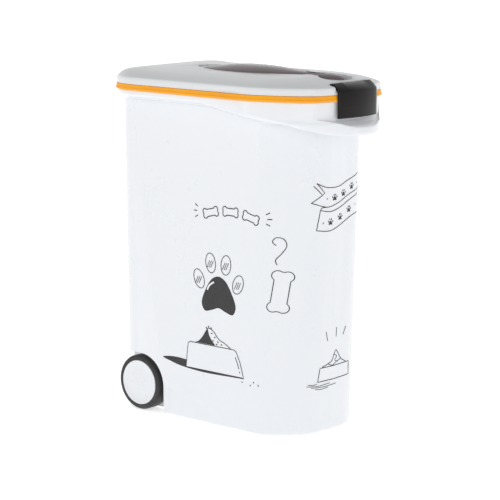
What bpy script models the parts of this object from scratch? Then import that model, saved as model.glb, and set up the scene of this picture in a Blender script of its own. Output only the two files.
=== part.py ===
"""Wheeled bin for dry pet food, with a hinged lid, a latch and a scoop stored in the lid.

Run it with: blender --background --python part.py
+X is the front (latch end), -X the back (wheels), +Z up, and the floor is z = 0.
Every size in the tables below is in millimetres; meshes are scaled to metres as they are made.
"""
import math

import bmesh
import bpy
from mathutils import Matrix, Vector
from mathutils.geometry import intersect_sphere_sphere_2d

MM = 0.001
GAP = 0.4                     # between pieces that touch on the real bin
CENTRE_X = 6.2                # moves the finished bin so that its box is centred on the origin

# Rim: the outline that the seal, the lid and the skirt below it all follow.
RIM_BACK = -238.0
RIM_HALF_WIDTH = 136.3
RIM_BACK_RADIUS = 65.0
RIM_SIDE_END = 67.5           # where the straight side turns into the long front curve
RIM_SIDE_RADIUS = 183.0
RIM_FRONT = 217.3             # middle of the blunt front, behind the latch
RIM_FRONT_RADIUS = 170.0
RIM_CORNER_RADIUS = 14.0
BEAK_ANGLE = math.radians(27.4)   # where the rounder grip below the latch starts its nose
RIM_TOP = 560.0
LIP_OUT = 1.4                 # how far the seal's lower lip stands out

# Tub: a tapered wall, given at the floor and at the reference height.
TUB_REFERENCE = 480.0
TUB_BACK = (-222.5, -225.5)
TUB_HALF_WIDTH = (108.0, 111.0)
TUB_FACET_X = 103.5
TUB_FACET_Y = (58.0, 61.0)
TUB_FRONT = (162.5, 180.5)
TUB_FRONT_CROWN = 4.0
TUB_BACK_RADIUS = 35.0
TUB_FACET_RADIUS = 60.0
WALL = 3.0
FLOOR_TOP = 6.0
FLOOR_RECESS = 2.0
FOOT_WIDTH = 14.0
SKIRT_IN = 3.2                # skirt's outer face, inside the rim outline
SKIRT_EDGE_BACK = 545.0
SKIRT_EDGE_FRONT = 504.0
SKIRT_RISES = (9.0, 12.0, 15.0, 18.0, 21.0, 24.5, 28.0)  # rings above the edge, at the front

# Slope under the latch, from the round grip below it in to the blunt rim.
POCKET_HALF_WIDTH = 50.0
POCKET_BOTTOM = 517.0
POCKET_TOP = 531.0

# Wheels and axle.
WHEEL_X = -179.5
WHEEL_RADIUS = 48.1
WHEEL_OUTER = 110.0
WHEEL_INNER = 83.0
CAP_RADIUS = 38.9
CAP_DEPTH = 3.4
AXLE_RADIUS = 4.0
WELL_FRONT = -122.0
WELL_TOP = 101.0
WELL_RADIUS = 52.0
WELL_INNER = 77.0
CHANNEL_HALF_X = 7.0
CHANNEL_HALF_Y = 70.0
CHANNEL_TOP = 56.0

# Lid.
SEAL_BOTTOM = RIM_TOP + GAP
SEAL_TOP = 570.4
FLANGE_BOTTOM = SEAL_TOP + GAP
FLANGE_TOP = 581.0
PLUG_BOTTOM = 554.4
PLUG_IN = 7.4
PLUG_WALL = 2.4
LID_WALL = 2.6
LID_SPINE = (-105.0, 120.0)
LID_SPINE_REACH = 70.0
TRAY_FLOOR = 559.4
WELL_FLOOR = 573.0
TRAY_WALL = 2.4

# Rear hinge.
HINGE_X = -244.2
HINGE_Z = 566.0
HINGE_Y = 62.0
KNUCKLE_RADIUS = 4.2
HINGE_PIN_RADIUS = 1.8
BODY_KNUCKLE = (8.4, 15.0)    # from the hinge's middle, on both sides
LID_KNUCKLE = 8.0

# Latch.
LATCH_X = 198.0
LATCH_Z = 584.8
LATCH_BARREL = 3.8
LATCH_PIN_RADIUS = 1.8
LATCH_HALF_WIDTH = 50.0
LATCH_FLAT_WIDTH = 45.5       # inside the chamfered ends
LATCH_BOTTOM = 533.0
LATCH_KINK = 577.0
LATCH_OUT = 4.4               # front plate's outer face, outside the rim outline
LATCH_WALL = 2.5
LATCH_CHAMFER = 1.2           # how much thinner the front plate is at its two ends

# Scoop, stored upside down in the lid.
SCOOP_BOTTOM = 560.2
SCOOP_EDGE = 595.0
SCOOP_CROWN = 9.5             # rise of the bowl's back over its edge
SCOOP_WALL = 2.0
SCOOP_GAP = 1.1
SCOOP_TIP = -134.0
SCOOP_END = 160.0
SCOOP_BOWL_LENGTH = 268.0
SCOOP_HALF_WIDTH = 50.0
SCOOP_HANDLE = 21.0           # handle's half width and the radius of its end
SCOOP_SPINE = (-105.0, 150.0)


def smooth(value, low, high):
    """0 below low, 1 above high, and an even S between them."""
    t = min(max((value - low) / (high - low), 0.0), 1.0)
    return t * t * (3.0 - 2.0 * t)


def mix(a, b, t):
    return a + (b - a) * t


def clear_scene():
    for old in list(bpy.data.objects):
        bpy.data.objects.remove(old, do_unlink=True)


def plastic(name, colour, roughness, metallic=0.0, alpha=1.0):
    """A plain Principled material for one kind of piece."""
    made = bpy.data.materials.new(name)
    made.use_nodes = True
    shader = made.node_tree.nodes["Principled BSDF"]
    shader.inputs["Base Color"].default_value = (*colour, 1.0)
    shader.inputs["Roughness"].default_value = roughness
    shader.inputs["Metallic"].default_value = metallic
    shader.inputs["Alpha"].default_value = alpha
    made.diffuse_color = (*colour, alpha)
    return made


def add_object(name, bm, material=None, origin=(0.0, 0.0, 0.0), parent=None):
    """Turn a millimetre bmesh into an object whose origin is at the given place."""
    bmesh.ops.recalc_face_normals(bm, faces=bm.faces)
    bmesh.ops.translate(bm, verts=bm.verts, vec=-Vector(origin))
    bmesh.ops.scale(bm, verts=bm.verts, vec=(MM, MM, MM))
    mesh = bpy.data.meshes.new(name)
    bm.to_mesh(mesh)
    bm.free()
    mesh.shade_smooth()
    mesh.set_sharp_from_angle(angle=math.radians(32))
    made = bpy.data.objects.new(name, mesh)
    bpy.context.scene.collection.objects.link(made)
    base = Vector(parent["place"]) if parent else Vector((-CENTRE_X, 0.0, 0.0))
    made.location = (Vector(origin) - base) * MM
    if material:
        made.data.materials.append(material)
    if parent:
        made.parent = parent
    return made


def pivot(name, place, parent=None):
    """An empty on a joint's axis, for the pieces that move with the joint."""
    made = bpy.data.objects.new(name, None)
    bpy.context.scene.collection.objects.link(made)
    base = Vector(parent["place"]) if parent else Vector((-CENTRE_X, 0.0, 0.0))
    made.location = (Vector(place) - base) * MM
    made["place"] = place
    if parent:
        made.parent = parent
    return made


def cutter(name, bm):
    """A guide solid that booleans use and the build leaves out."""
    made = add_object(name, bm)
    made.hide_render = True
    made.display_type = "WIRE"
    return made


def boolean(target, operation, other):
    made = target.modifiers.new(operation.title() + " " + other.name, "BOOLEAN")
    made.operation = operation
    made.solver = "EXACT"
    made.object = other


# ---------------------------------------------------------------- outlines

def half_outline(back, arcs, runs, front, offset):
    """Points from the back centre round the -Y side to the front centre.

    Each arc is (centre x, centre y, radius, start angle, end angle, steps), and each run is the
    number of steps along the straight stretch before its arc. The offset widens the outline.
    """
    points = [Vector((back - offset, 0.0))]
    for (cx, cy, radius, start, end, steps), run in zip(arcs, runs):
        reach = radius + offset
        first = Vector((cx + reach * math.cos(start), cy + reach * math.sin(start)))
        last = points[-1].copy()
        points += [last.lerp(first, (i + 1) / run) for i in range(run)]
        for i in range(steps):
            angle = mix(start, end, (i + 1) / steps)
            points.append(Vector((cx + reach * math.cos(angle), cy + reach * math.sin(angle))))
    if len(runs) > len(arcs):
        last, tip = points[-1].copy(), Vector((front + offset, 0.0))
        points += [last.lerp(tip, (i + 1) / runs[-1]) for i in range(runs[-1])]
    points[-1].y = 0.0
    return points


def both_halves(half):
    """A closed outline from its -Y half."""
    return half + [Vector((p.x, -p.y)) for p in reversed(half[1:-1])]


def rim_outline(offset=0.0):
    """Rim outline: square back, straight sides, a long curve and a blunt, crowned front."""
    h, r = RIM_HALF_WIDTH, RIM_BACK_RADIUS
    corner = max(RIM_CORNER_RADIUS, 4.0 - offset)
    side = Vector((RIM_SIDE_END, RIM_SIDE_RADIUS - h))
    front = Vector((RIM_FRONT - RIM_FRONT_RADIUS, 0.0))
    meet = intersect_sphere_sphere_2d(side, RIM_SIDE_RADIUS - corner, front, RIM_FRONT_RADIUS - corner)
    middle = min(meet, key=lambda p: p.y)
    from_side, from_front = middle - side, middle - front
    turn_side = math.atan2(from_side.y, from_side.x)
    turn_front = math.atan2(from_front.y, from_front.x)
    arcs = [
        (RIM_BACK + r, r - h, r, math.radians(180), math.radians(270), 8),
        (side.x, side.y, RIM_SIDE_RADIUS, math.radians(-90), turn_side, 11),
        (middle.x, middle.y, corner, turn_side, turn_front, 3),
        (front.x, 0.0, RIM_FRONT_RADIUS, turn_front, 0.0, 3),
    ]
    return both_halves(half_outline(RIM_BACK, arcs, [2, 3, 0, 0], RIM_FRONT, offset))


def beak_outline(offset=0.0):
    """Outline of the grip below the latch: the rim's back and sides, and a round nose."""
    h, r = RIM_HALF_WIDTH, RIM_BACK_RADIUS
    side_y = RIM_SIDE_RADIUS - h
    end_x = RIM_SIDE_END + RIM_SIDE_RADIUS * math.cos(BEAK_ANGLE)
    end_y = side_y - RIM_SIDE_RADIUS * math.sin(BEAK_ANGLE)
    nose_radius = -end_y / math.sin(BEAK_ANGLE)
    nose_x = end_x - nose_radius * math.cos(BEAK_ANGLE)
    arcs = [
        (RIM_BACK + r, r - h, r, math.radians(180), math.radians(270), 8),
        (RIM_SIDE_END, side_y, RIM_SIDE_RADIUS, math.radians(-90), -BEAK_ANGLE, 12),
        (nose_x, 0.0, nose_radius, -BEAK_ANGLE, 0.0, 5),
    ]
    return both_halves(half_outline(RIM_BACK, arcs, [2, 3, 0], nose_x + nose_radius, offset))


def fillet(before, corner, after, radius, steps):
    """The arc that rounds a corner, in the form half_outline takes."""
    to_before = (before - corner).normalized()
    to_after = (after - corner).normalized()
    half_angle = to_before.angle(to_after) / 2
    centre = corner + (to_before + to_after).normalized() * radius / math.sin(half_angle)
    reach = radius / math.tan(half_angle)
    start = corner + to_before * reach - centre
    end = corner + to_after * reach - centre
    return (centre.x, centre.y, radius, math.atan2(start.y, start.x), math.atan2(end.y, end.x), steps)


def tub_outline(z, offset=0.0):
    """Tub outline at a height: flat sides, a facet each side of a narrower front."""
    t = z / TUB_REFERENCE
    back, h = mix(*TUB_BACK, t), mix(*TUB_HALF_WIDTH, t)
    front, facet_y = mix(*TUB_FRONT, t), mix(*TUB_FACET_Y, t)
    r = TUB_BACK_RADIUS
    side = Vector((TUB_FACET_X, -h))
    cheek = Vector((front - TUB_FRONT_CROWN, -facet_y))
    arcs = [
        (back + r, r - h, r, math.radians(-180), math.radians(-90), 8),
        fillet(Vector((back, -h)), side, cheek, TUB_FACET_RADIUS, 4),
        fillet(side, cheek, Vector((front, 0.0)), TUB_FACET_RADIUS, 4),
    ]
    return both_halves(half_outline(back, arcs, [2, 3, 4, 5], front, offset))


def scoop_half_width(x):
    """Half the scoop's width: a leaf-shaped bowl that narrows into the handle."""
    along = (x - SCOOP_TIP) / SCOOP_BOWL_LENGTH
    bowl = SCOOP_HALF_WIDTH * math.sin(math.pi * along ** 0.9) ** 0.72 if along < 1.0 else 0.0
    handle = SCOOP_HANDLE * smooth(x, 40.0, 100.0)
    return max(bowl, handle)


def scoop_outline(offset=0.0):
    """Leaf bowl, handle and round handle end, grown away from the scoop's spine."""
    steps, end_steps = 18, 5
    half = [Vector((SCOOP_TIP, 0.0))]
    for i in range(1, steps + 1):
        # closer together round the tip
        x = mix(SCOOP_TIP, SCOOP_END, (i / steps) ** 1.25)
        half.append(Vector((x, -scoop_half_width(x))))
    for i in range(1, end_steps + 1):
        angle = math.radians(-90 + 90 * i / end_steps)
        half.append(Vector((SCOOP_END + SCOOP_HANDLE * math.cos(angle), SCOOP_HANDLE * math.sin(angle))))
    half[-1].y = 0.0
    grown = []
    for p in half:
        spine = Vector((min(max(p.x, SCOOP_SPINE[0]), SCOOP_SPINE[1]), 0.0))
        grown.append(p + (p - spine).normalized() * offset)
    return both_halves(grown)


def level(outline, z):
    """Lift a flat outline to one height."""
    return [Vector((p.x, p.y, z)) for p in outline]


# ---------------------------------------------------------------- solids

def loft(rings):
    """A closed solid through rings of equal length, with flat caps."""
    bm = bmesh.new()
    loops = [[bm.verts.new(p) for p in ring] for ring in rings]
    count = len(loops[0])
    for lower, upper in zip(loops, loops[1:]):
        for i in range(count):
            j = (i + 1) % count
            bm.faces.new((lower[i], lower[j], upper[j], upper[i]))
    caps = [bm.faces.new(list(reversed(loops[0]))), bm.faces.new(loops[-1])]
    bm.normal_update()
    bmesh.ops.triangulate(bm, faces=caps)
    return bm


def prism(outline, direction, start, end):
    """Extrude an (a, b) outline along Y or Z between two coordinates."""
    if direction == "Y":
        rings = [[Vector((a, at, b)) for a, b in outline] for at in (start, end)]
    else:
        rings = [[Vector((a, b, at)) for a, b in outline] for at in (start, end)]
    return loft(rings)


def box(low, high):
    bm = bmesh.new()
    size = Vector(high) - Vector(low)
    place = Matrix.Translation((Vector(low) + Vector(high)) / 2) @ Matrix.Diagonal((*size, 1.0))
    bmesh.ops.create_cube(bm, size=1.0, matrix=place)
    return bm


def rod(radius, start, end, steps=24):
    """A cylinder along Y from (x, y, z) for the given length to end's y."""
    bm = bmesh.new()
    middle = (Vector(start) + Vector(end)) / 2
    turn = Matrix.Rotation(math.radians(90), 4, "X")
    length = abs(end[1] - start[1])
    bmesh.ops.create_cone(bm, cap_ends=True, segments=steps, radius1=radius, radius2=radius,
                          depth=length, matrix=Matrix.Translation(middle) @ turn)
    return bm


def turned(profile, centre, steps):
    """Spin a closed (radius, y) profile about the Y axis line through centre."""
    bm = bmesh.new()
    verts = [bm.verts.new((centre[0] + r, y, centre[2])) for r, y in profile]
    edges = [bm.edges.new((verts[i], verts[(i + 1) % len(verts)])) for i in range(len(verts))]
    bmesh.ops.spin(bm, geom=verts + edges, cent=centre, axis=(0, 1, 0), dvec=(0, 0, 0),
                   angle=2 * math.pi, steps=steps, use_merge=True, use_duplicate=False)
    return bm


def joined(*parts):
    """One bmesh from several that don't touch."""
    whole = bmesh.new()
    for part in parts:
        mesh = bpy.data.meshes.new("part")
        part.to_mesh(mesh)
        part.free()
        whole.from_mesh(mesh)
        bpy.data.meshes.remove(mesh)
    return whole


# ---------------------------------------------------------------- tub

def skirt_point(round_spot, blunt_spot, z):
    """A point of the skirt's face: round below the slope under the latch, blunt above it."""
    if round_spot.x < 0.0:
        return blunt_spot
    lift = 8.0 * min((round_spot.y / POCKET_HALF_WIDTH) ** 2, 1.0)
    return round_spot.lerp(blunt_spot, smooth(z, POCKET_BOTTOM + lift, POCKET_TOP + 0.4 * lift))


def skirt_shape():
    """For each rim point: skirt edge height, and 0 to 1 for how far the skirt hangs free."""
    edges, hangs = [], []
    for p in tub_outline(530.0):
        drop = min(max((p.x + 20.0) / 205.0, 0.0), 1.0) ** 1.5
        edges.append(mix(SKIRT_EDGE_BACK, SKIRT_EDGE_FRONT, drop))
        hangs.append(smooth(p.x, 112.0, 168.0))
    return edges, hangs


def tub_rings():
    """Outer rings of the tub, from the recessed base up to the rim."""
    rings = [
        level(tub_outline(0.0, -FOOT_WIDTH - 6.0), FLOOR_RECESS),
        level(tub_outline(0.0, -FOOT_WIDTH - 5.0), 0.0),
        level(tub_outline(0.0, -5.0), 0.0),
        level(tub_outline(2.0, -1.5), 2.0),
        level(tub_outline(6.0), 6.0),
    ]
    edges, hangs = skirt_shape()
    rim, beak = rim_outline(-SKIRT_IN), beak_outline(-SKIRT_IN)
    rim_inside, beak_inside = rim_outline(-SKIRT_IN - WALL), beak_outline(-SKIRT_IN - WALL)
    beak_middle = beak_outline(-SKIRT_IN - WALL / 2)
    inner = [min(pair, key=lambda spot: spot.length) for pair in zip(rim_inside, beak_inside)]
    steps = [  # share of the way out and height above the edge; then the hanging skirt's own
        (0.0, -2.0, None, 13.0), (0.3, 1.0, inner, 22.5), (0.65, 3.4, beak_inside, 9.0),
        (0.9, 6.2, beak_middle, 0.0), (1.0, 9.4, beak, 4.0),
    ]
    for share, rise, hung_outline, hang_rise in steps:
        ring = []
        for i, (edge, hang) in enumerate(zip(edges, hangs)):
            z = mix(edge + rise, edge + hang_rise, hang)
            wall = tub_outline(z)[i]
            hung = hung_outline[i] if hung_outline else wall
            spot = wall.lerp(skirt_point(beak[i], rim[i], edge), share).lerp(hung, hang)
            ring.append(Vector((spot.x, spot.y, z)))
        rings.append(ring)
    lowest = rings[-1]
    for rise in SKIRT_RISES:
        share = (rise - 4.0) / (SKIRT_RISES[-1] - 4.0)
        ring = []
        for i, low in enumerate(lowest):
            z = mix(low.z, SKIRT_EDGE_FRONT + SKIRT_RISES[-1] + 22.0 * (1.0 - hangs[i]), share)
            spot = skirt_point(beak[i], rim[i], z)
            ring.append(Vector((spot.x, spot.y, z)))
        rings.append(ring)
    rings.append(level(rim, RIM_TOP - 3.2))
    rings.append(level(rim, RIM_TOP - 0.8))
    rings.append(level(rim_outline(-SKIRT_IN - 0.8), RIM_TOP))
    return rings


def cavity_rings():
    """Rings of the space inside the tub, from its floor to above the rim."""
    edges, hangs = skirt_shape()
    mouth, nose = rim_outline(-SKIRT_IN - WALL), beak_outline(-SKIRT_IN - WALL)
    rings = [
        level(tub_outline(FLOOR_TOP, -WALL - 8.0), FLOOR_TOP),
        level(tub_outline(FLOOR_TOP + 2.5, -WALL - 2.5), FLOOR_TOP + 2.5),
        level(tub_outline(FLOOR_TOP + 8.0, -WALL), FLOOR_TOP + 8.0),
    ]
    for share, rise, hang_rise in ((0.0, 2.6, 17.0), (0.5, 5.6, 25.0), (1.0, 8.0, 34.0)):
        ring = []
        for i, (edge, hang) in enumerate(zip(edges, hangs)):
            z = mix(edge + rise, edge + hang_rise, hang)
            spot = tub_outline(z, -WALL)[i].lerp(skirt_point(nose[i], mouth[i], z), share)
            ring.append(Vector((spot.x, spot.y, z)))
        rings.append(ring)
    rings.append(level(mouth, RIM_TOP + 2.0))
    return rings


def well_profile(grow):
    """Wheel arch from the side, as (x, z): open at the back and below."""
    centre_x, centre_z = WELL_FRONT - WELL_RADIUS, WELL_TOP - WELL_RADIUS
    reach = WELL_RADIUS + grow
    points = [(-262.0, -10.0), (WELL_FRONT + grow, -10.0)]
    for i in range(11):
        angle = math.radians(9 * i)
        points.append((centre_x + reach * math.cos(angle), centre_z + reach * math.sin(angle)))
    points.append((-262.0, WELL_TOP + grow))
    return points


def wheel_space(grow):
    """Both wheel wells and the axle channel between them, grown by a wall's thickness."""
    wells = [
        prism(well_profile(grow), "Y", side * (WELL_INNER - grow), side * 150.0)
        for side in (-1, 1)
    ]
    if not grow:
        wells.append(box((WHEEL_X - CHANNEL_HALF_X, -CHANNEL_HALF_Y, -10.0),
                         (WHEEL_X + CHANNEL_HALF_X, CHANNEL_HALF_Y, CHANNEL_TOP)))
    return joined(*wells)


def channel_housing():
    """Raised floor over the axle channel, reaching into both wheel housings."""
    reach = WELL_INNER + 6.0
    return box((WHEEL_X - CHANNEL_HALF_X - WALL, -reach, -10.0),
               (WHEEL_X + CHANNEL_HALF_X + WALL, reach, CHANNEL_TOP + WALL))


def hinge_arm_profile():
    """Bracket on the back of the tub that carries a hinge knuckle, as (x, z)."""
    inside = RIM_BACK + SKIRT_IN + 1.3
    front = RIM_BACK - LIP_OUT - GAP
    points = [(inside, RIM_TOP - 5.2), (inside, RIM_TOP - 1.1), (front, RIM_TOP - 1.1),
              (front, HINGE_Z - 1.0)]
    for i in range(9):
        angle = math.radians(i * 22.5)
        points.append((HINGE_X + KNUCKLE_RADIUS * math.cos(angle),
                       HINGE_Z + KNUCKLE_RADIUS * math.sin(angle)))
    points.append((HINGE_X - KNUCKLE_RADIUS, HINGE_Z - 5.0))
    return points


def hinge_spans():
    """Y ranges of the tub's four knuckles."""
    near, far = BODY_KNUCKLE
    for middle in (-HINGE_Y, HINGE_Y):
        for side in (-1, 1):
            ends = sorted((middle + side * near, middle + side * far))
            yield ends[0], ends[1]


def build_tub(material):
    tub = add_object("bin_body", loft(tub_rings()), material)
    cavity = cutter("guide_cavity", loft(cavity_rings()))
    boolean(cavity, "DIFFERENCE", cutter("guide_wheel_housings", wheel_space(WALL)))
    boolean(cavity, "DIFFERENCE", cutter("guide_channel_housing", channel_housing()))
    boolean(tub, "DIFFERENCE", cavity)
    boolean(tub, "DIFFERENCE", cutter("guide_wheel_wells", wheel_space(0.0)))
    axle_place = ((WHEEL_X, -90.0, WHEEL_RADIUS), (WHEEL_X, 90.0, WHEEL_RADIUS))
    boolean(tub, "DIFFERENCE", cutter("guide_axle_bore", rod(AXLE_RADIUS + 0.3, *axle_place)))
    arms = joined(*[prism(hinge_arm_profile(), "Y", low, high) for low, high in hinge_spans()])
    boolean(tub, "UNION", cutter("guide_hinge_arms", arms))
    pin_bores = joined(*[
        rod(HINGE_PIN_RADIUS + 0.3, (HINGE_X, middle - 20.0, HINGE_Z), (HINGE_X, middle + 20.0, HINGE_Z), 16)
        for middle in (-HINGE_Y, HINGE_Y)
    ])
    boolean(tub, "DIFFERENCE", cutter("guide_hinge_bores", pin_bores))
    return tub


# ---------------------------------------------------------------- wheels

def build_wheels(steel, black, cap_white):
    """Axle, and for each side a washer, a wheel, a push nut and a cap."""
    centre = Vector((WHEEL_X, 0.0, WHEEL_RADIUS))
    add_object("axle", rod(AXLE_RADIUS, centre + Vector((0, -104.0, 0)), centre + Vector((0, 104.0, 0))),
               steel, origin=tuple(centre))
    bore = AXLE_RADIUS + 0.35
    tread, edge = WHEEL_RADIUS, 2.5
    for side, name in ((-1, "right"), (1, "left")):
        hub = pivot("pivot_wheel_" + name, (WHEEL_X, side * WHEEL_OUTER, WHEEL_RADIUS))
        cap_seat = CAP_RADIUS + GAP
        wheel = [
            (bore, 80.5), (12.0, 80.5), (12.0, 86.0), (36.0, 88.0), (40.0, WHEEL_INNER),
            (tread - edge, WHEEL_INNER), (tread, WHEEL_INNER + edge), (tread, WHEEL_OUTER - 4.5),
            (tread - 1.4, WHEEL_OUTER - 1.4), (tread - 4.5, WHEEL_OUTER), (cap_seat, WHEEL_OUTER),
            (cap_seat, WHEEL_OUTER - CAP_DEPTH - 0.4), (13.0, WHEEL_OUTER - CAP_DEPTH - 0.4),
            (13.0, 98.0), (bore, 98.0),
        ]
        profile = [(r, side * y) for r, y in wheel]
        add_object("wheel_" + name, turned(profile, centre, 48), black, tuple(hub["place"]), hub)
        cap = [
            (0.4, WHEEL_OUTER - CAP_DEPTH), (CAP_RADIUS, WHEEL_OUTER - CAP_DEPTH),
            (CAP_RADIUS, WHEEL_OUTER - 0.4), (CAP_RADIUS - 0.8, WHEEL_OUTER + 0.3),
            (CAP_RADIUS - 2.0, WHEEL_OUTER - 0.3), (20.0, WHEEL_OUTER + 0.6), (0.4, WHEEL_OUTER + 0.9),
        ]
        cap_mesh = turned([(r, side * y) for r, y in cap], centre, 48)
        bmesh.ops.holes_fill(cap_mesh, edges=cap_mesh.edges, sides=0)
        close_centre(cap_mesh, centre)
        add_object("hub_cap_" + name, cap_mesh, cap_white, tuple(hub["place"]), hub)
        washer = [(bore, 77.4), (9.0, 77.4), (9.0, 80.1), (bore, 80.1)]
        add_object("washer_" + name, turned([(r, side * y) for r, y in washer], centre, 24), cap_white)
        nut = [(bore, 98.4), (10.5, 98.4), (10.5, 99.6), (6.5, 102.4), (bore, 102.4)]
        add_object("push_nut_" + name, turned([(r, side * y) for r, y in nut], centre, 24), steel)


def close_centre(bm, centre):
    """Draw the tiny ring left at a turned disc's middle into a point on each face."""
    near = [v for v in bm.verts if math.hypot(v.co.x - centre[0], v.co.z - centre[2]) < 0.6]
    for v in near:
        v.co.x, v.co.z = centre[0], centre[2]
    bmesh.ops.remove_doubles(bm, verts=bm.verts, dist=0.001)


# ---------------------------------------------------------------- lid

def lid_height(x, inset):
    """Height of the lid's top at a distance in from its edge: steeper at the back."""
    side = 583.2 + 11.6 * (1.0 - math.exp(-max(inset - 2.8, 0.0) / 30.0)) + 0.02 * inset
    back = 583.2 + 11.0 * (1.0 - math.exp(-max(inset - 2.8, 0.0) / 9.0)) + 0.02 * inset
    front = 583.2 + 16.0 * (1.0 - math.exp(-max(inset - 2.8, 0.0) / 38.0))
    height = mix(side, back, smooth(-x, 120.0, 205.0))
    return mix(height, front, smooth(x, 110.0, 200.0))


def lid_ring(inset, drop=0.0, seat=0.0, share=0.0):
    """A ring of the lid's top, drawn in towards its spine by share; seat lowers it under the latch."""
    ring = []
    for p, edge in zip(rim_outline(-inset), rim_outline()):
        under = (1.0 - smooth(abs(edge.y), 62.0, 90.0)) * smooth(edge.x, 120.0, 180.0)
        spine = Vector((min(max(p.x, LID_SPINE[0]), LID_SPINE[1]), 0.0))
        spot = p.lerp(spine, share)
        height = lid_height(edge.x, inset + share * LID_SPINE_REACH)
        ring.append(Vector((spot.x, spot.y, height - drop - seat * under)))
    return ring


def lid_rings():
    """Outside of the lid from the plug's lower edge to the crown."""
    rings = [
        level(rim_outline(-PLUG_IN - 0.8), PLUG_BOTTOM),
        level(rim_outline(-PLUG_IN), PLUG_BOTTOM + 2.5),
        level(rim_outline(-PLUG_IN), FLANGE_BOTTOM),
        level(rim_outline(-0.5), FLANGE_BOTTOM),
        level(rim_outline(-1.2), FLANGE_TOP),
        lid_ring(2.8),
    ]
    rings += [lid_ring(inset) for inset in (7.0, 13.0, 22.0, 34.0, 50.0)]
    rings += [lid_ring(50.0, share=share) for share in (0.3, 0.6, 0.85)]
    return rings


def lid_void_rings():
    """Space inside the lid's shell and plug."""
    rings = [
        level(rim_outline(-PLUG_IN - PLUG_WALL), PLUG_BOTTOM - 2.0),
        level(rim_outline(-PLUG_IN - PLUG_WALL), FLANGE_BOTTOM + 3.0),
    ]
    rings += [lid_ring(inset, LID_WALL, 3.6) for inset in (15.0, 24.5, 34.0, 50.0)]
    rings += [lid_ring(50.0, LID_WALL, 3.6, share) for share in (0.3, 0.6, 0.85)]
    return rings


def lid_hook_profile():
    """Arm from the lid's flange out to its hinge knuckle, as (x, z)."""
    inside = RIM_BACK + 3.0
    points = [(inside, FLANGE_BOTTOM + 0.4), (inside, FLANGE_BOTTOM + 6.4), (HINGE_X + 1.0, FLANGE_BOTTOM + 6.0)]
    for i in range(13):
        angle = math.radians(90 + i * 20)
        points.append((HINGE_X + KNUCKLE_RADIUS * math.cos(angle),
                       HINGE_Z + KNUCKLE_RADIUS * math.sin(angle)))
    points.append((HINGE_X + KNUCKLE_RADIUS, HINGE_Z + 2.0))
    points.append((HINGE_X + KNUCKLE_RADIUS + 0.2, FLANGE_BOTTOM + 0.4))
    return points


def recess_shape(grow, bottom, top):
    """Upright space with the scoop's outline."""
    return loft([level(scoop_outline(SCOOP_GAP + grow), bottom),
                 level(scoop_outline(SCOOP_GAP + grow), top)])


def finger_well(grow, bottom, top):
    """Oval well round the handle's end, so that fingers reach under it."""
    steps, reach_x, reach_y, middle = 28, 24.0 + grow, 33.0 + grow, 166.0
    outline = []
    for i in range(steps):
        angle = 2 * math.pi * i / steps
        outline.append((middle + reach_x * math.cos(angle), reach_y * math.sin(angle)))
    return prism(outline, "Z", bottom, top)


def build_lid(material, hinge):
    place = tuple(hinge["place"])
    lid = add_object("lid", loft(lid_rings()), material, place, hinge)
    void = cutter("guide_lid_void", loft(lid_void_rings()))
    tray = cutter("guide_tray", recess_shape(TRAY_WALL, TRAY_FLOOR - TRAY_WALL, 620.0))
    well = cutter("guide_well_wall", finger_well(TRAY_WALL, WELL_FLOOR - TRAY_WALL, 621.0))
    block = cutter("guide_latch_block", box((LATCH_X - 8.0, -56.0, 576.0), (LATCH_X + 9.0, 56.0, 622.0)))
    for keep in (tray, well, block):
        boolean(void, "DIFFERENCE", keep)
    hooks = joined(*[prism(lid_hook_profile(), "Y", y - LID_KNUCKLE, y + LID_KNUCKLE)
                     for y in (-HINGE_Y, HINGE_Y)])
    boolean(lid, "UNION", cutter("guide_lid_hooks", hooks))
    boolean(lid, "DIFFERENCE", void)
    recess = cutter("guide_recess", recess_shape(0.0, TRAY_FLOOR, 640.0))
    boolean(recess, "UNION", cutter("guide_finger_well", finger_well(0.0, WELL_FLOOR, 641.0)))
    boolean(lid, "DIFFERENCE", recess)
    boolean(lid, "DIFFERENCE", cutter("guide_latch_seat", latch_seat()))
    bores = joined(*[rod(HINGE_PIN_RADIUS + 0.3, (HINGE_X, y - 20.0, HINGE_Z), (HINGE_X, y + 20.0, HINGE_Z), 16)
                     for y in (-HINGE_Y, HINGE_Y)])
    boolean(lid, "DIFFERENCE", cutter("guide_lid_bores", bores))
    pin_bore = rod(LATCH_PIN_RADIUS + 0.3, (LATCH_X, -53.0, LATCH_Z), (LATCH_X, 53.0, LATCH_Z), 16)
    boolean(lid, "DIFFERENCE", cutter("guide_latch_bore", pin_bore))
    return lid


def build_seal(material, hinge):
    """Seal round the lid, with a lip that stands out at its lower edge."""
    section = [
        (-PLUG_IN + 0.6, SEAL_BOTTOM), (LIP_OUT - 0.8, SEAL_BOTTOM), (LIP_OUT, SEAL_BOTTOM + 0.8),
        (LIP_OUT, SEAL_BOTTOM + 3.6), (0.4, SEAL_BOTTOM + 4.6), (0.0, SEAL_TOP - 0.8),
        (-0.8, SEAL_TOP), (-PLUG_IN + 0.6, SEAL_TOP),
    ]
    bm = bmesh.new()
    loops = [[bm.verts.new(p) for p in level(rim_outline(offset), z)] for offset, z in section]
    count = len(loops[0])
    for k, loop in enumerate(loops):
        following = loops[(k + 1) % len(loops)]
        for i in range(count):
            j = (i + 1) % count
            bm.faces.new((loop[i], loop[j], following[j], following[i]))
    add_object("lid_seal", bm, material, tuple(hinge["place"]), hinge)


# ---------------------------------------------------------------- latch

def front_x(y, offset):
    """X of the rim's blunt front at a given y, for an outline grown by offset."""
    reach = RIM_FRONT_RADIUS + offset
    return RIM_FRONT - RIM_FRONT_RADIUS + math.sqrt(reach * reach - y * y)


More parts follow.
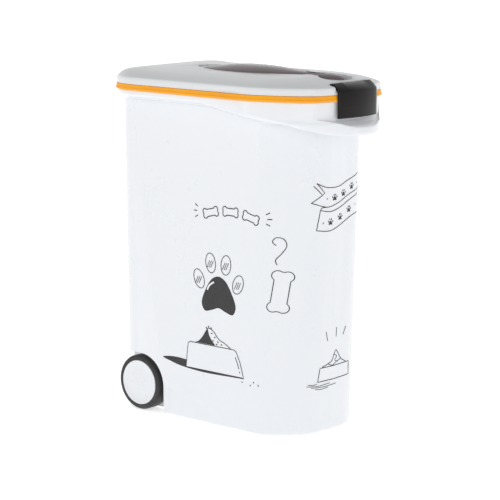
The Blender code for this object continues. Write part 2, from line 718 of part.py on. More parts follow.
def latch_section(y):
    """Closed (x, z) outline of the latch at one y: front plate, kink, top facet and barrel."""
    chamfer = LATCH_CHAMFER * max(abs(y) - LATCH_FLAT_WIDTH, 0.0) / (LATCH_HALF_WIDTH - LATCH_FLAT_WIDTH)
    out, inn = front_x(y, LATCH_OUT - chamfer), front_x(y, LATCH_OUT - LATCH_WALL)
    top, wall = LATCH_BARREL, out - inn
    points = [(inn, LATCH_BOTTOM), (out - 0.4 * wall, LATCH_BOTTOM), (out, LATCH_BOTTOM + 1.2),
              (out, LATCH_KINK - 1.5), (out - 0.6 * wall, LATCH_KINK + 0.8)]
    for degrees in (80, 110, 140, 170, 200, 230, 260, 290, 320, 345):
        angle = math.radians(degrees)
        points.append((LATCH_X + top * math.cos(angle), LATCH_Z + top * math.sin(angle)))
    points.append((LATCH_X + top + 3.0, LATCH_Z - 0.9))
    points.append((inn, LATCH_KINK - 3.0))
    return points


def latch_stations(extra=0.0):
    """Y of each ring of the latch, or of the seat round it."""
    steps = 12
    middle = [mix(-LATCH_FLAT_WIDTH, LATCH_FLAT_WIDTH, i / steps) for i in range(steps + 1)]
    return [-LATCH_HALF_WIDTH - extra] + middle + [LATCH_HALF_WIDTH + extra]


def latch_seat():
    """The space the latch sits in, open above it."""
    rings, grow = [], 0.6
    top = LATCH_BARREL + grow
    for y in latch_stations(GAP):
        front, inn = front_x(y, LATCH_OUT + 6.0), front_x(y, LATCH_OUT - LATCH_WALL - grow)
        points = [(front, 560.0), (front, 615.0), (LATCH_X - top, 615.0)]
        for degrees in (180, 210, 240, 270, 300, 330):
            angle = math.radians(degrees)
            points.append((LATCH_X + top * math.cos(angle), LATCH_Z + top * math.sin(angle)))
        points += [(LATCH_X + top + 2.2, LATCH_Z - 1.8), (inn, LATCH_KINK - 3.9), (inn, 560.0)]
        rings.append([Vector((x, y, z)) for x, z in points])
    return loft(rings)


def build_latch(material, steel, lid_pivot):
    place = (LATCH_X, 0.0, LATCH_Z)
    hinge = pivot("pivot_latch", place, lid_pivot)
    rings = [[Vector((x, y, z)) for x, z in latch_section(y)] for y in latch_stations()]
    latch = add_object("latch", loft(rings), material, place, hinge)
    hook = prism([(front_x(0.0, 3.0), 536.0), (front_x(0.0, 3.0), 542.5), (front_x(0.0, -0.8), 540.0),
                  (front_x(0.0, -0.8), 538.0)], "Y", -16.0, 16.0)
    boolean(latch, "UNION", cutter("guide_latch_hook", hook))
    bore = rod(LATCH_PIN_RADIUS + 0.3, (LATCH_X, -60.0, LATCH_Z), (LATCH_X, 60.0, LATCH_Z), 16)
    boolean(latch, "DIFFERENCE", cutter("guide_latch_pin_bore", bore))
    pin = rod(LATCH_PIN_RADIUS, (LATCH_X, -51.5, LATCH_Z), (LATCH_X, 51.5, LATCH_Z), 16)
    add_object("latch_pin", pin, steel, tuple(lid_pivot["place"]), lid_pivot)
    return latch


# ---------------------------------------------------------------- scoop

def scoop_ring(offset, z, share=0.0, crown=0.0):
    """A ring of the scoop, drawn in towards its spine by share and raised by crown."""
    ring = []
    for p in scoop_outline(offset):
        spine = Vector((min(max(p.x, SCOOP_SPINE[0]), SCOOP_SPINE[1]), 0.0))
        spot = p.lerp(spine, share)
        rise = smooth(p.x, SCOOP_TIP - 10.0, -20.0) * mix(1.0, 0.4, smooth(p.x, 10.0, 120.0))
        lift = crown * SCOOP_CROWN * rise
        ring.append(Vector((spot.x, spot.y, z + lift)))
    return ring


def build_scoop(material, lid_pivot):
    """A leaf-shaped shell, open below, whose bowl narrows into a hollow handle."""
    outer = [scoop_ring(0.0, SCOOP_BOTTOM), scoop_ring(0.0, SCOOP_BOTTOM + 3.0),
             scoop_ring(-2.0, SCOOP_EDGE - 5.0), scoop_ring(-3.0, SCOOP_EDGE - 1.6),
             scoop_ring(-5.0, SCOOP_EDGE), scoop_ring(-5.0, SCOOP_EDGE, 0.2, 0.4),
             scoop_ring(-5.0, SCOOP_EDGE, 0.45, 0.77), scoop_ring(-5.0, SCOOP_EDGE, 0.75, 1.0)]
    inner = [scoop_ring(-SCOOP_WALL, SCOOP_BOTTOM - 2.0), scoop_ring(-SCOOP_WALL, SCOOP_BOTTOM + 3.0),
             scoop_ring(-2.0 - SCOOP_WALL, SCOOP_EDGE - 6.0), scoop_ring(-7.0, SCOOP_EDGE - 2.2),
             scoop_ring(-7.0, SCOOP_EDGE - 2.2, 0.2, 0.4),
             scoop_ring(-7.0, SCOOP_EDGE - 2.2, 0.45, 0.77), scoop_ring(-7.0, SCOOP_EDGE - 2.2, 0.75, 1.0)]
    place = (0.0, 0.0, SCOOP_BOTTOM)
    lift = pivot("pivot_scoop", place, lid_pivot)
    scoop = add_object("scoop", loft(outer), material, place, lift)
    boolean(scoop, "DIFFERENCE", cutter("guide_scoop_inside", loft(inner)))
    slot = []
    for i in range(20):
        angle = 2 * math.pi * i / 20
        slot.append((126.0 + 22.0 * math.cos(angle), 6.5 * math.sin(angle)))
    boolean(scoop, "DIFFERENCE", cutter("guide_scoop_slot", prism(slot, "Z", 580.0, 630.0)))
    return scoop


def build_hinge_pins(steel):
    for y, name in ((-HINGE_Y, "right"), (HINGE_Y, "left")):
        reach = BODY_KNUCKLE[1] - 0.2
        add_object("hinge_pin_" + name,
                   rod(HINGE_PIN_RADIUS, (HINGE_X, y - reach, HINGE_Z), (HINGE_X, y + reach, HINGE_Z), 16),
                   steel, (HINGE_X, y, HINGE_Z))


def main():
    clear_scene()
    white = plastic("white_plastic", (0.86, 0.87, 0.885), 0.3)
    lid_grey = plastic("lid_plastic", (0.78, 0.80, 0.81), 0.3)
    orange = plastic("orange_seal", (0.97, 0.42, 0.005), 0.45)
    gloss_black = plastic("gloss_black", (0.012, 0.011, 0.011), 0.12)
    wheel_black = plastic("wheel_black", (0.018, 0.018, 0.019), 0.5)
    cap_white = plastic("cap_white", (0.80, 0.82, 0.84), 0.3)
    smoke = plastic("smoke_plastic", (0.16, 0.13, 0.135), 0.15, alpha=0.8)
    steel = plastic("steel", (0.56, 0.57, 0.58), 0.3, metallic=1.0)
    lid_hinge = pivot("pivot_lid", (HINGE_X, 0.0, HINGE_Z))
    build_tub(white)
    build_wheels(steel, wheel_black, cap_white)
    build_hinge_pins(steel)
    build_lid(lid_grey, lid_hinge)
    build_seal(orange, lid_hinge)
    build_latch(gloss_black, steel, lid_hinge)
    build_scoop(smoke, lid_hinge)


main()
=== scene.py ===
"""Wheeled bin for dry pet food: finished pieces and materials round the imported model.

+X is the front (latch end), -X the wheels, +Z up and +Y the bin's left side. Sizes are in metres.
"""
import math

import bmesh
import bpy
from mathutils import Matrix, Vector
from mathutils.bvhtree import BVHTree


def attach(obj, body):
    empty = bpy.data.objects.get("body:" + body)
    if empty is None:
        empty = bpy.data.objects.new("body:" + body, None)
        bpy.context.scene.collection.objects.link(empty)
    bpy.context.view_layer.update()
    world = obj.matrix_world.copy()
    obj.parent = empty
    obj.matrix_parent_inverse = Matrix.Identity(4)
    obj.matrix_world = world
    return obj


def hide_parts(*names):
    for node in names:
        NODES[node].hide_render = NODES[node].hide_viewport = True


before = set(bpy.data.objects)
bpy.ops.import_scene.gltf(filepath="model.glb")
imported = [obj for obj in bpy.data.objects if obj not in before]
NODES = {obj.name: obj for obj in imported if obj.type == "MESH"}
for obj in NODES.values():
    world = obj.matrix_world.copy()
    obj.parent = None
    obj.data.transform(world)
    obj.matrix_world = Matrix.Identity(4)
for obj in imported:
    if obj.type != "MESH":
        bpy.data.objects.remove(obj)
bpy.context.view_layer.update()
MM = 0.001

INK_WIDTH = 1.25              # width of a drawn line, in millimetres
INK_LIFT = 0.00010            # how far the print stands off the wall
INK_DEPTH = 0.00012           # thickness of the print


# ------------------------------------------------------------ node helpers

def new_group(name, inputs, outputs):
    """An empty shader node group with its sockets and its two end nodes."""
    tree = bpy.data.node_groups.new(name, "ShaderNodeTree")
    for label, kind, value in inputs:
        socket = tree.interface.new_socket(label, in_out="INPUT", socket_type="NodeSocket" + kind)
        socket.default_value = value
    for label, kind in outputs:
        tree.interface.new_socket(label, in_out="OUTPUT", socket_type="NodeSocket" + kind)
    return tree, tree.nodes.new("NodeGroupInput"), tree.nodes.new("NodeGroupOutput")


def add_node(tree, kind, values=None, **settings):
    """A node with its settings, and its input values or the sockets that feed them."""
    node = tree.nodes.new("ShaderNode" + kind)
    for key, value in settings.items():
        setattr(node, key, value)
    for key, value in (values or {}).items():
        if isinstance(value, bpy.types.NodeSocket):
            tree.links.new(value, node.inputs[key])
        else:
            node.inputs[key].default_value = value
    return node


def noise(tree, place, scale, detail=2.0, roughness=0.5):
    made = add_node(tree, "TexNoise", {"Vector": place, "Scale": scale, "Detail": detail,
                                       "Roughness": roughness})
    return made.outputs["Fac"]


def ramp(tree, value, low, high, to_low=0.0, to_high=1.0):
    """Map a value from one range to another, held inside the new one."""
    made = add_node(tree, "MapRange", {"Value": value, "From Min": low, "From Max": high,
                                       "To Min": to_low, "To Max": to_high}, clamp=True)
    return made.outputs["Result"]


def blend_colours(tree, share, first, second):
    made = add_node(tree, "Mix", {"Factor": share}, data_type="RGBA")
    for index, value in ((6, first), (7, second)):
        if isinstance(value, bpy.types.NodeSocket):
            tree.links.new(value, made.inputs[index])
        else:
            made.inputs[index].default_value = value
    return made.outputs[2]


def calc(tree, operation, first, second=0.0):
    return add_node(tree, "Math", {0: first, 1: second}, operation=operation).outputs["Value"]


# ------------------------------------------------------------ shared groups

def make_moulded_skin():
    """Colour drift, polish drift and fine grain of a moulded surface."""
    tree, given, result = new_group(
        "moulded_skin",
        [("Shade", "Color", (0.8, 0.8, 0.8, 1.0)), ("Deep", "Color", (0.7, 0.7, 0.7, 1.0)),
         ("Drift Scale", "Float", 6.0), ("Grain Scale", "Float", 900.0),
         ("Rough Low", "Float", 0.25), ("Rough High", "Float", 0.4)],
        [("Color", "Color"), ("Roughness", "Float"), ("Height", "Float")])
    place = add_node(tree, "TexCoord").outputs["Object"]
    drift = ramp(tree, noise(tree, place, given.outputs["Drift Scale"], 3.0), 0.3, 0.7)
    smears = noise(tree, place, calc(tree, "MULTIPLY", given.outputs["Drift Scale"], 5.0), 4.0, 0.65)
    grain = noise(tree, place, given.outputs["Grain Scale"], 2.0)
    ripple = noise(tree, place, calc(tree, "MULTIPLY", given.outputs["Drift Scale"], 2.2), 1.0)
    colour = blend_colours(tree, drift, given.outputs["Shade"], given.outputs["Deep"])
    polish = add_node(tree, "MapRange", {"Value": smears, "From Min": 0.35, "From Max": 0.65,
                                         "To Min": given.outputs["Rough Low"],
                                         "To Max": given.outputs["Rough High"]}, clamp=True)
    height = calc(tree, "ADD", calc(tree, "MULTIPLY", grain, 0.25), ripple)
    tree.links.new(colour, result.inputs["Color"])
    tree.links.new(polish.outputs["Result"], result.inputs["Roughness"])
    tree.links.new(height, result.inputs["Height"])
    return tree


def make_scuffs():
    """Hairline scratches and small rubs, as a mask from 0 to 1."""
    tree, given, result = new_group(
        "scuffs",
        [("Scale", "Float", 60.0), ("Stretch", "Vector", (1.0, 1.0, 0.06)), ("Amount", "Float", 0.5)],
        [("Mask", "Float")])
    place = add_node(tree, "TexCoord").outputs["Object"]
    turned = add_node(tree, "Mapping", {"Vector": place, "Rotation": (0.5, 0.35, 0.2),
                                        "Scale": given.outputs["Stretch"]}).outputs["Vector"]
    fine = noise(tree, turned, given.outputs["Scale"], 5.0, 0.7)
    lines = ramp(tree, fine, 0.62, 0.70)
    broad = calc(tree, "MULTIPLY", given.outputs["Scale"], 0.2)
    patches = ramp(tree, noise(tree, place, broad, 3.0), 0.45, 0.65)
    mask = calc(tree, "MULTIPLY", calc(tree, "MULTIPLY", lines, patches), given.outputs["Amount"])
    tree.links.new(mask, result.inputs["Mask"])
    return tree


def make_settled_dust():
    """Dust that gathers between two heights above the floor, as a mask from 0 to 1."""
    tree, given, result = new_group(
        "settled_dust",
        [("Low", "Float", 0.0), ("High", "Float", 0.06), ("Amount", "Float", 0.4)],
        [("Mask", "Float")])
    place = add_node(tree, "TexCoord").outputs["Object"]
    height = add_node(tree, "SeparateXYZ", {"Vector": place}).outputs["Z"]
    fade = add_node(tree, "MapRange", {"Value": height, "From Min": given.outputs["Low"],
                                       "From Max": given.outputs["High"], "To Min": 1.0, "To Max": 0.0},
                    clamp=True).outputs["Result"]
    specks = ramp(tree, noise(tree, place, 120.0, 6.0, 0.7), 0.35, 0.75)
    mask = calc(tree, "MULTIPLY", calc(tree, "MULTIPLY", fade, specks), given.outputs["Amount"])
    tree.links.new(mask, result.inputs["Mask"])
    return tree


SKIN = make_moulded_skin()
SCUFFS = make_scuffs()
DUST = make_settled_dust()


def put_group(tree, group, values):
    node = tree.nodes.new("ShaderNodeGroup")
    node.node_tree = group
    for key, value in values.items():
        node.inputs[key].default_value = value
    return node


def finish_material(name, shade, deep, rough, drift=6.0, grain=900.0, bump=0.02, scuff=0.3,
                    scuff_colour=(0.5, 0.5, 0.5), scuff_scale=60.0, dust=0.0,
                    dust_colour=(0.42, 0.40, 0.37), constants=None):
    """Moulded material: colour drift, polish drift, grain, scuffs and dust near the floor."""
    made = bpy.data.materials.new(name)
    made.use_nodes = True
    tree = made.node_tree
    shader = tree.nodes["Principled BSDF"]
    skin = put_group(tree, SKIN, {"Shade": (*shade, 1.0), "Deep": (*deep, 1.0), "Drift Scale": drift,
                                  "Grain Scale": grain, "Rough Low": rough[0], "Rough High": rough[1]})
    marks = put_group(tree, SCUFFS, {"Scale": scuff_scale, "Amount": scuff})
    colour = blend_colours(tree, marks.outputs["Mask"], skin.outputs["Color"], (*scuff_colour, 1.0))
    roughness = calc(tree, "ADD", skin.outputs["Roughness"],
                     calc(tree, "MULTIPLY", marks.outputs["Mask"], 0.35))
    if dust:
        film = put_group(tree, DUST, {"Amount": dust})
        colour = blend_colours(tree, film.outputs["Mask"], colour, (*dust_colour, 1.0))
        roughness = calc(tree, "ADD", roughness, calc(tree, "MULTIPLY", film.outputs["Mask"], 0.4))
    relief = add_node(tree, "Bump", {"Height": skin.outputs["Height"], "Strength": 1.0,
                                     "Distance": bump * MM})
    tree.links.new(colour, shader.inputs["Base Color"])
    tree.links.new(roughness, shader.inputs["Roughness"])
    tree.links.new(relief.outputs["Normal"], shader.inputs["Normal"])
    for key, value in (constants or {}).items():
        shader.inputs[key].default_value = value
    made.diffuse_color = (*shade, 1.0)
    return made


SHELL_WHITE = finish_material(
    "shell_white", (0.80, 0.82, 0.85), (0.785, 0.807, 0.84), (0.27, 0.31), drift=2.5, grain=260.0,
    bump=0.004, scuff=0.02, scuff_colour=(0.66, 0.66, 0.66), dust=0.06,
    constants={"Coat Weight": 0.5, "Coat Roughness": 0.10, "IOR": 1.49})
LID_GREY = finish_material(
    "lid_grey", (0.72, 0.74, 0.75), (0.70, 0.722, 0.735), (0.28, 0.34), drift=4.0, grain=260.0,
    bump=0.005, scuff=0.03, scuff_colour=(0.55, 0.55, 0.55),
    constants={"Coat Weight": 0.15, "Coat Roughness": 0.2, "IOR": 1.49})
SEAL_ORANGE = finish_material(
    "seal_orange", (0.965, 0.405, 0.003), (0.93, 0.36, 0.002), (0.42, 0.55), drift=14.0, grain=2200.0,
    bump=0.03, scuff=0.05, scuff_colour=(0.8, 0.5, 0.2), constants={"IOR": 1.42})
LATCH_BLACK = finish_material(
    "latch_black", (0.0045, 0.0032, 0.0028), (0.006, 0.0045, 0.004), (0.10, 0.16), drift=12.0, grain=1800.0,
    bump=0.008, scuff=0.06, scuff_colour=(0.06, 0.055, 0.05),
    constants={"Specular IOR Level": 0.32, "IOR": 1.4})
TYRE_BLACK = finish_material(
    "tyre_black", (0.014, 0.014, 0.016), (0.020, 0.020, 0.022), (0.38, 0.55), drift=18.0, grain=1600.0,
    bump=0.06, scuff=0.35, scuff_colour=(0.10, 0.10, 0.10), scuff_scale=90.0, dust=0.35,
    dust_colour=(0.16, 0.15, 0.14), constants={"IOR": 1.48})
CAP_WHITE = finish_material(
    "cap_white", (0.80, 0.82, 0.85), (0.77, 0.79, 0.82), (0.25, 0.36), drift=10.0, grain=1400.0,
    bump=0.03, scuff=0.15, scuff_colour=(0.5, 0.5, 0.5),
    constants={"Coat Weight": 0.2, "Coat Roughness": 0.15, "IOR": 1.49})
SCOOP_SMOKE = finish_material(
    "scoop_smoke", (0.19, 0.15, 0.158), (0.165, 0.13, 0.137), (0.16, 0.24), drift=9.0, grain=1500.0,
    bump=0.012, scuff=0.12, scuff_colour=(0.3, 0.27, 0.27),
    constants={"Alpha": 0.9, "IOR": 1.36, "Coat Weight": 0.1, "Coat Roughness": 0.1})
PIN_STEEL = finish_material(
    "pin_steel", (0.60, 0.61, 0.62), (0.52, 0.53, 0.55), (0.22, 0.36), drift=40.0, grain=2600.0,
    bump=0.02, scuff=0.4, scuff_colour=(0.35, 0.35, 0.36), scuff_scale=140.0,
    constants={"Metallic": 1.0})
PRINT_BLACK = finish_material(
    "print_black", (0.016, 0.016, 0.018), (0.024, 0.024, 0.026), (0.45, 0.6), drift=30.0, grain=2600.0,
    bump=0.01, scuff=0.12, scuff_colour=(0.2, 0.2, 0.2))


# ------------------------------------------------------------ mesh helpers

def finished(name, bm, material, body, angle=32.0, stands_for=()):
    """Make a piece from a bmesh, give it its material and fix it to its body."""
    mesh = bpy.data.meshes.new(name)
    bm.to_mesh(mesh)
    bm.free()
    mesh.shade_smooth()
    mesh.set_sharp_from_angle(angle=math.radians(angle))
    mesh.materials.append(material)
    piece = bpy.data.objects.new(name, mesh)
    bpy.context.scene.collection.objects.link(piece)
    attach(piece, body)
    if stands_for:
        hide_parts(*stands_for)
    return piece


def copy_of(node):
    """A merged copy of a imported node's mesh."""
    bm = bmesh.new()
    bm.from_mesh(NODES[node].data)
    bmesh.ops.remove_doubles(bm, verts=bm.verts, dist=0.000002)
    return bm


def round_edges(piece, width, segments=2, angle=34.0):
    """Break a piece's sharp edges."""
    made = piece.modifiers.new("Rounded edges", "BEVEL")
    made.width = width * MM
    made.segments = segments
    made.limit_method = "ANGLE"
    made.angle_limit = math.radians(angle)
    made.harden_normals = False
    made.use_clamp_overlap = True


def even_shading(piece):
    """Weigh a piece's normals by face area, so that its narrow triangles don't show."""
    made = piece.modifiers.new("Even shading", "WEIGHTED_NORMAL")
    made.mode = "FACE_AREA"
    made.keep_sharp = True


def spline(points, closed=False, steps=7):
    """A smooth line through points in a drawing's plane."""
    count = len(points)
    line = []
    for i in range(count if closed else count - 1):
        span = []
        for k in (-1, 0, 1, 2):
            at = (i + k) % count if closed else min(max(i + k, 0), count - 1)
            span.append(Vector(points[at]))
        before, first, second, after = span
        for s in range(steps):
            t = s / steps
            line.append(0.5 * (2 * first + (second - before) * t
                               + (2 * before - 5 * first + 4 * second - after) * t * t
                               + (3 * first - before - 3 * second + after) * t ** 3))
    if not closed:
        line.append(Vector(points[-1]))
    return line


def straight(points, closed=False, step=6.0):
    """Straight runs between points, cut into short steps so that they follow a curved wall."""
    line = []
    ends = points + points[:1] if closed else points
    for first, second in zip(ends, ends[1:]):
        a, b = Vector(first), Vector(second)
        cuts = max(1, round((b - a).length / step))
        line += [a.lerp(b, i / cuts) for i in range(cuts)]
    if not closed:
        line.append(Vector(points[-1]))
    return line


def oval(centre, reach_a, reach_b, turn=0.0, steps=36, arc=(0.0, 360.0)):
    """Points round an oval, or round part of one."""
    full = arc[1] - arc[0] >= 360.0
    line = []
    for i in range(steps if full else steps + 1):
        angle = math.radians(arc[0] + (arc[1] - arc[0]) * i / steps)
        spot = Vector((reach_a * math.cos(angle), reach_b * math.sin(angle)))
        spot.rotate(Matrix.Rotation(math.radians(turn), 2))
        line.append(Vector(centre) + spot)
    return line


def draw(bm, line, width=INK_WIDTH, closed=False):
    """Draw a line as a flat band, by extruding a short edge along it."""
    if closed:
        line = line + line[:1]
    last = len(line) - 1
    pair, edge = None, None
    for i, spot in enumerate(line):
        before = line[i - 1] if i else (line[last - 1] if closed else spot)
        after = line[i + 1] if i < last else (line[1] if closed else spot)
        across = (after - before).normalized().orthogonal() * width / 2
        sides = [(*(spot + across), 0.0), (*(spot - across), 0.0)]
        if edge is None:
            pair = [bm.verts.new(side) for side in sides]
            edge = bm.edges.new(pair)
            continue
        grown = bmesh.ops.extrude_edge_only(bm, edges=[edge])["geom"]
        fresh = [item for item in grown if isinstance(item, bmesh.types.BMVert)]
        follow = []
        for old in pair:
            follow.append(next(v for v in fresh if any(e.other_vert(v) is old for e in v.link_edges)))
        for vert, side in zip(follow, sides):
            vert.co = side
        pair = follow
        edge = bm.edges.get(pair)


def paint(bm, line):
    """Fill a closed line."""
    verts = [bm.verts.new((*spot, 0.0)) for spot in line]
    edges = [bm.edges.new((a, b)) for a, b in zip(verts, verts[1:] + verts[:1])]
    bmesh.ops.triangle_fill(bm, use_beauty=True, edges=edges)


def lay_on_wall(bm, name, face, wall, material, layer=0):
    """Press a flat drawing on to the tub's wall and give it the thickness of a print."""
    bmesh.ops.remove_doubles(bm, verts=bm.verts, dist=0.01)
    for vert in bm.verts:
        a, b = vert.co.x * MM, vert.co.y * MM
        if face == "front":
            start, way = Vector((0.4, a, b)), Vector((-1.0, 0.0, 0.0))
        else:
            side = -1.0 if face == "right" else 1.0
            start, way = Vector((a, side * 0.3, b)), Vector((0.0, -side, 0.0))
        spot = wall.ray_cast(start, way)[0]
        vert.co = spot - way * (INK_LIFT + layer * INK_DEPTH * 1.6)
    bm.normal_update()
    back = [f for f in bm.faces if f.normal.dot(way) > 0.0]
    bmesh.ops.reverse_faces(bm, faces=back)
    bmesh.ops.solidify(bm, geom=bm.faces[:], thickness=INK_DEPTH)
    bmesh.ops.recalc_face_normals(bm, faces=bm.faces)
    return finished(name, bm, material, "bin")


# ------------------------------------------------------------ tub, lid and running gear

tub = finished("tub_shell", copy_of("bin_body"), SHELL_WHITE, "bin",
               stands_for=["bin_body"])
even_shading(tub)
lid = finished("lid_shell", copy_of("lid"), LID_GREY, "lid", stands_for=["lid"])
even_shading(lid)
seal = finished("rim_seal", copy_of("lid_seal"), SEAL_ORANGE, "lid",
                stands_for=["lid_seal"])
round_edges(seal, 0.35)
latch = finished("front_latch", copy_of("latch"), LATCH_BLACK, "latch",
                 stands_for=["latch"])
round_edges(latch, 0.35)
scoop = finished("food_scoop", copy_of("scoop"), SCOOP_SMOKE, "scoop",
                 stands_for=["scoop"])
round_edges(scoop, 0.45)
for side in ("left", "right"):
    tyre = finished("tyre_" + side, copy_of("wheel_" + side), TYRE_BLACK, "wheel_" + side,
                    stands_for=["wheel_" + side])
    round_edges(tyre, 0.8, 3)
    cap = finished("wheel_cap_" + side, copy_of("hub_cap_" + side), CAP_WHITE, "wheel_" + side,
                   stands_for=["hub_cap_" + side])
    round_edges(cap, 0.25)
for node in ("axle", "push_nut_left", "push_nut_right", "hinge_pin_left", "hinge_pin_right", "latch_pin"):
    NODES[node].data.materials[0] = PIN_STEEL
for node in ("washer_left", "washer_right"):
    NODES[node].data.materials[0] = CAP_WHITE


# ------------------------------------------------------------ printed drawings

wall_mesh = copy_of("bin_body")
WALL = BVHTree.FromBMesh(wall_mesh)
wall_mesh.free()


def bone(centre, length, knob, turn):
    """Outline of a bone: a straight shank with two round knobs at each end."""
    reach = length / 2 - knob
    line = []
    for end in (0.0, 180.0):
        for lift, low, high in ((-0.8, -150.0, 35.0), (0.8, -35.0, 150.0)):
            for spot in oval((reach, lift * knob), knob, knob, steps=9, arc=(low, high)):
                spot.rotate(Matrix.Rotation(math.radians(end + turn), 2))
                line.append(spot + Vector(centre))
    return line


def paw(centre, size):
    """Pad and toes of a paw print whose pad is two sizes wide."""
    middle = Vector(centre)
    half = [(0.0, 0.80), (0.42, 0.62), (0.78, 0.10), (0.98, -0.42), (0.80, -0.78), (0.38, -0.70)]
    outline = half + [(0.0, -0.58)] + [(-across, up) for across, up in reversed(half[1:])]
    pad = spline([middle + Vector(spot) * size for spot in outline], True, 5)
    toes = []
    placed = ((-1.12, 0.58, 24.0), (-0.44, 1.34, 8.0), (0.44, 1.34, -8.0), (1.12, 0.58, -24.0))
    for across, up, lean in placed:
        spot = middle + Vector((across, up)) * size
        toes.append(oval(spot, 0.28 * size, 0.43 * size, lean, 24))
    return pad, toes


def ticks(ink, centre, reach, angles, length=7.0):
    """Short strokes that point away from a centre."""
    for angle in angles:
        way = Vector((math.cos(math.radians(angle)), math.sin(math.radians(angle))))
        draw(ink, straight([Vector(centre) + way * reach, Vector(centre) + way * (reach + length)]), 1.5)


def flecks(ink, places, size):
    """Small solid marks, turned a little more from each to the next."""
    for i, place in enumerate(places):
        paint(ink, oval(place, size, size * 0.55, 40.0 * i, 10))


def side_shapes():
    """Drawing on each side wall, in (forward, up) millimetres: bowl, kibble, paw, bones."""
    solid, cover, ink = bmesh.new(), bmesh.new(), bmesh.new()
    # shadow that tapers both ways from the bowl's rear foot
    paint(solid, spline([(-116.0, 103.0), (-92.0, 107.0), (-58.0, 106.0), (20.0, 98.0), (70.0, 93.0),
                         (40.0, 91.5), (-20.0, 90.0), (-70.0, 93.0), (-98.0, 98.0)], True))
    # bowl
    bowl = [(-61.0, 94.0), (-58.5, 120.0), (-56.0, 136.0), (-52.0, 139.0), (48.0, 139.0), (53.0, 136.0),
            (61.0, 120.0), (69.0, 94.0)]
    paint(cover, straight(bowl, True))
    draw(ink, straight(bowl, True), closed=True)
    draw(ink, spline([(51.0, 127.0), (56.0, 116.0), (59.0, 108.0)]), 1.6)
    draw(ink, spline([(60.0, 104.0), (61.0, 101.0)]), 1.6)
    # kibble, dark on its rear slope
    mound = spline([(-38.0, 140.0), (-31.0, 143.0), (-22.0, 152.0), (-15.0, 162.0), (-9.0, 168.0),
                    (2.0, 164.0), (14.0, 152.0), (27.0, 147.0), (40.0, 140.0)])
    draw(ink, mound)
    paint(solid, straight([(-38.0, 140.0), (-31.0, 143.0), (-22.0, 152.0), (-15.0, 162.0), (-11.0, 166.0),
                           (-8.0, 156.0), (-3.0, 149.0), (3.0, 143.0), (6.0, 140.0)], True))
    flecks(ink, [(-2.0, 160.0), (5.0, 154.0), (1.0, 148.0), (12.0, 147.0), (9.0, 142.5), (20.0, 143.5),
                 (-9.0, 170.5), (-3.0, 169.0), (-14.0, 168.0)], 1.9)
    flecks(ink, [(66.0, 87.0), (84.0, 84.0), (91.0, 90.0), (100.0, 86.0)], 1.6)
    # paw print with a dark pad
    pad, toes = paw((14.0, 228.0), 39.0)
    paint(solid, pad)
    draw(cover, oval((14.0, 228.0), 26.0, 22.0, steps=12, arc=(112.0, 165.0)), 3.0)
    for toe in toes:
        draw(ink, toe, closed=True)
        middle = sum(toe, Vector((0.0, 0.0))) / len(toe)
        for step in (-1.0, 0.0, 1.0):
            foot, head = Vector((4.0 * step - 4.0, -8.0)), Vector((4.0 * step + 2.0, 4.0))
            draw(ink, straight([middle + foot, middle + head]), 1.1)
    # upright bone with a curl of steam
    draw(ink, bone((134.0, 246.0), 70.0, 8.5, 82.0), closed=True)
    draw(ink, spline([(130.0, 291.0), (128.0, 299.0), (137.0, 311.0), (143.0, 323.0), (139.0, 334.0),
                      (129.0, 336.0), (124.0, 329.0), (129.0, 323.0)]))
    # row of small bones in an arch, with strokes at both ends
    for across, up, lean in ((-2.0, 366.0, 14.0), (42.0, 371.0, 0.0), (86.0, 366.0, -14.0)):
        draw(ink, bone((across, up), 34.0, 4.6, lean), 1.6, True)
    ticks(ink, (-18.0, 366.0), 15.0, (150.0, 180.0, 210.0))
    ticks(ink, (102.0, 366.0), 15.0, (30.0, 0.0, -30.0))
    return solid, cover, ink


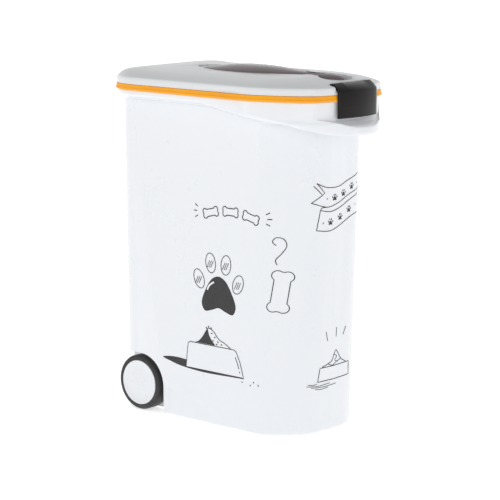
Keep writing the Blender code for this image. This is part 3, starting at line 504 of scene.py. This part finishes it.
def front_shapes():
    """Drawing on the front wall, in (left, up) millimetres: ribbon with paws, small bowl."""
    solid, ink = bmesh.new(), bmesh.new()
    upper_top = [(-52.0, 425.0), (-32.0, 417.0), (-5.0, 416.0), (22.0, 424.0), (72.0, 436.0)]
    upper_foot = [(-60.0, 393.0), (-28.0, 384.0), (0.0, 390.0), (30.0, 401.0), (72.0, 408.0)]
    lower_top = [(-44.0, 380.0), (-20.0, 376.0), (5.0, 382.0), (35.0, 393.0), (72.0, 400.0)]
    lower_foot = [(-50.0, 347.0), (-20.0, 344.0), (8.0, 353.0), (40.0, 364.0), (80.0, 366.0)]
    for edge in (upper_top, upper_foot, lower_top, lower_foot):
        draw(ink, spline(edge))
    draw(ink, straight([(-52.0, 425.0), (-36.0, 408.0), (-60.0, 393.0)]))
    draw(ink, straight([(-57.0, 421.0), (-42.0, 406.0)]))
    draw(ink, spline([(-28.0, 384.0), (-40.0, 384.0), (-44.0, 380.0)]))
    draw(ink, straight([(-44.0, 380.0), (-50.0, 347.0)]))
    draw(ink, straight([(72.0, 436.0), (72.0, 400.0)]))
    draw(ink, straight([(72.0, 400.0), (66.0, 384.0), (80.0, 366.0)]))
    for place in ((-12.0, 397.0), (10.0, 402.0), (33.0, 411.0), (-20.0, 357.0), (3.0, 363.0), (27.0, 373.0)):
        pad, toes = paw(place, 4.4)
        for shape in [pad] + toes:
            paint(solid, shape)
    flecks(ink, [(-30.0, 398.0), (52.0, 416.0), (-37.0, 358.0), (48.0, 380.0)], 1.6)
    # small bowl with its food and the strokes above and below it
    draw(ink, straight([(-37.0, 90.0), (-33.0, 113.0), (44.0, 113.0), (46.0, 90.0)], True), closed=True)
    draw(ink, spline([(-28.0, 114.0), (-14.0, 118.0), (-5.0, 122.0), (0.0, 132.0), (5.0, 139.0),
                      (12.0, 132.0), (20.0, 122.0), (34.0, 114.0)]))
    draw(ink, spline([(0.0, 132.0), (8.0, 128.0), (3.0, 122.0), (12.0, 118.0)]), 1.0)
    draw(ink, spline([(-14.0, 118.0), (-4.0, 114.0), (6.0, 118.0), (20.0, 122.0)]), 1.0)
    strokes = (((-17.0, 158.0), (-21.0, 174.0)), ((4.0, 162.0), (5.0, 178.0)),
               ((24.0, 162.0), (31.0, 175.0)))
    for foot, head in strokes:
        draw(ink, straight([foot, head]), 1.2)
    hatching = ((87.0, -56.0, -38.0), (84.0, -58.0, -8.0), (81.0, -50.0, 8.0), (77.5, -42.0, -12.0))
    for low, left, right in hatching:
        draw(ink, spline([(left, low + 0.8), ((left + right) / 2, low - 0.8), (right, low + 0.5)]), 0.9)
    return solid, None, ink


for face, shapes in (("right", side_shapes), ("left", side_shapes), ("front", front_shapes)):
    solid, cover, ink = shapes()
    lay_on_wall(solid, face + "_print_solid", face, WALL, PRINT_BLACK)
    if cover:
        lay_on_wall(cover, face + "_print_cover", face, WALL, SHELL_WHITE, 1)
    lay_on_wall(ink, face + "_print_lines", face, WALL, PRINT_BLACK, 2)


# ------------------------------------------------------------ studio

def area_light(name, place, aim, size, power):
    lamp = bpy.data.lights.new(name, "AREA")
    lamp.shape = "RECTANGLE"
    lamp.size, lamp.size_y = size
    lamp.energy = power
    made = bpy.data.objects.new(name, lamp)
    made.location = place
    made.rotation_euler = (Vector(aim) - Vector(place)).to_track_quat("-Z", "Y").to_euler()
    bpy.context.scene.collection.objects.link(made)


CAMERA_PLACE = (2.2891, -2.6111, 0.9103)
CAMERA_DOWN, CAMERA_TURN = 10.163, 41.395     # degrees below the level, and round from -Y
LENS, SENSOR = 148.9, 36.0                    # millimetres
LIGHTS = (  # name, place, aim, size, power
    ("side_strip", (-1.5, -3.2, 1.2), (0.0, 0.0, 0.3), (0.5, 2.4), 4.5),
    ("camera_strip", (2.9, -3.4, 1.3), (0.1, 0.0, 0.3), (0.6, 2.2), 3.5),
    ("front_softbox", (3.4, -0.2, 1.2), (0.1, 0.0, 0.3), (1.6, 2.0), 1.5),
)


def studio():
    """Pale floor, sky that is brighter low down, soft lights and the camera."""
    floor_bm = bmesh.new()
    bmesh.ops.create_grid(floor_bm, x_segments=1, y_segments=1, size=30.0)
    mesh = bpy.data.meshes.new("floor")
    floor_bm.to_mesh(mesh)
    floor_bm.free()
    floor = bpy.data.objects.new("floor", mesh)
    floor.location.z = -0.0005
    bpy.context.scene.collection.objects.link(floor)
    pale = bpy.data.materials.new("pale_floor")
    pale.use_nodes = True
    shader = pale.node_tree.nodes["Principled BSDF"]
    shader.inputs["Base Color"].default_value = (0.93, 0.93, 0.93, 1.0)
    shader.inputs["Roughness"].default_value = 0.9
    shader.inputs["Emission Color"].default_value = (1.0, 1.0, 1.0, 1.0)
    shader.inputs["Emission Strength"].default_value = 0.6
    mesh.materials.append(pale)

    world = bpy.data.worlds.new("studio_air")
    world.use_nodes = True
    sky = world.node_tree
    up = add_node(sky, "SeparateXYZ", {"Vector": add_node(sky, "TexCoord").outputs["Generated"]})
    level = ramp(sky, up.outputs["Z"], 0.05, 0.75, 1.1, 0.5)
    sky.links.new(level, sky.nodes["Background"].inputs["Strength"])
    sky.nodes["Background"].inputs["Color"].default_value = (1.0, 1.0, 1.0, 1.0)
    bpy.context.scene.world = world

    for light in LIGHTS:
        area_light(*light)
    bpy.context.scene.view_settings.view_transform = "Standard"
    bpy.context.scene.view_settings.look = "None"

    lens = bpy.data.cameras.new("view")
    lens.lens = LENS
    lens.sensor_width = SENSOR
    camera = bpy.data.objects.new("view", lens)
    camera.location = CAMERA_PLACE
    camera.rotation_euler = (math.radians(90.0 - CAMERA_DOWN), 0.0, math.radians(CAMERA_TURN))
    bpy.context.scene.collection.objects.link(camera)
    bpy.context.scene.camera = camera


studio()
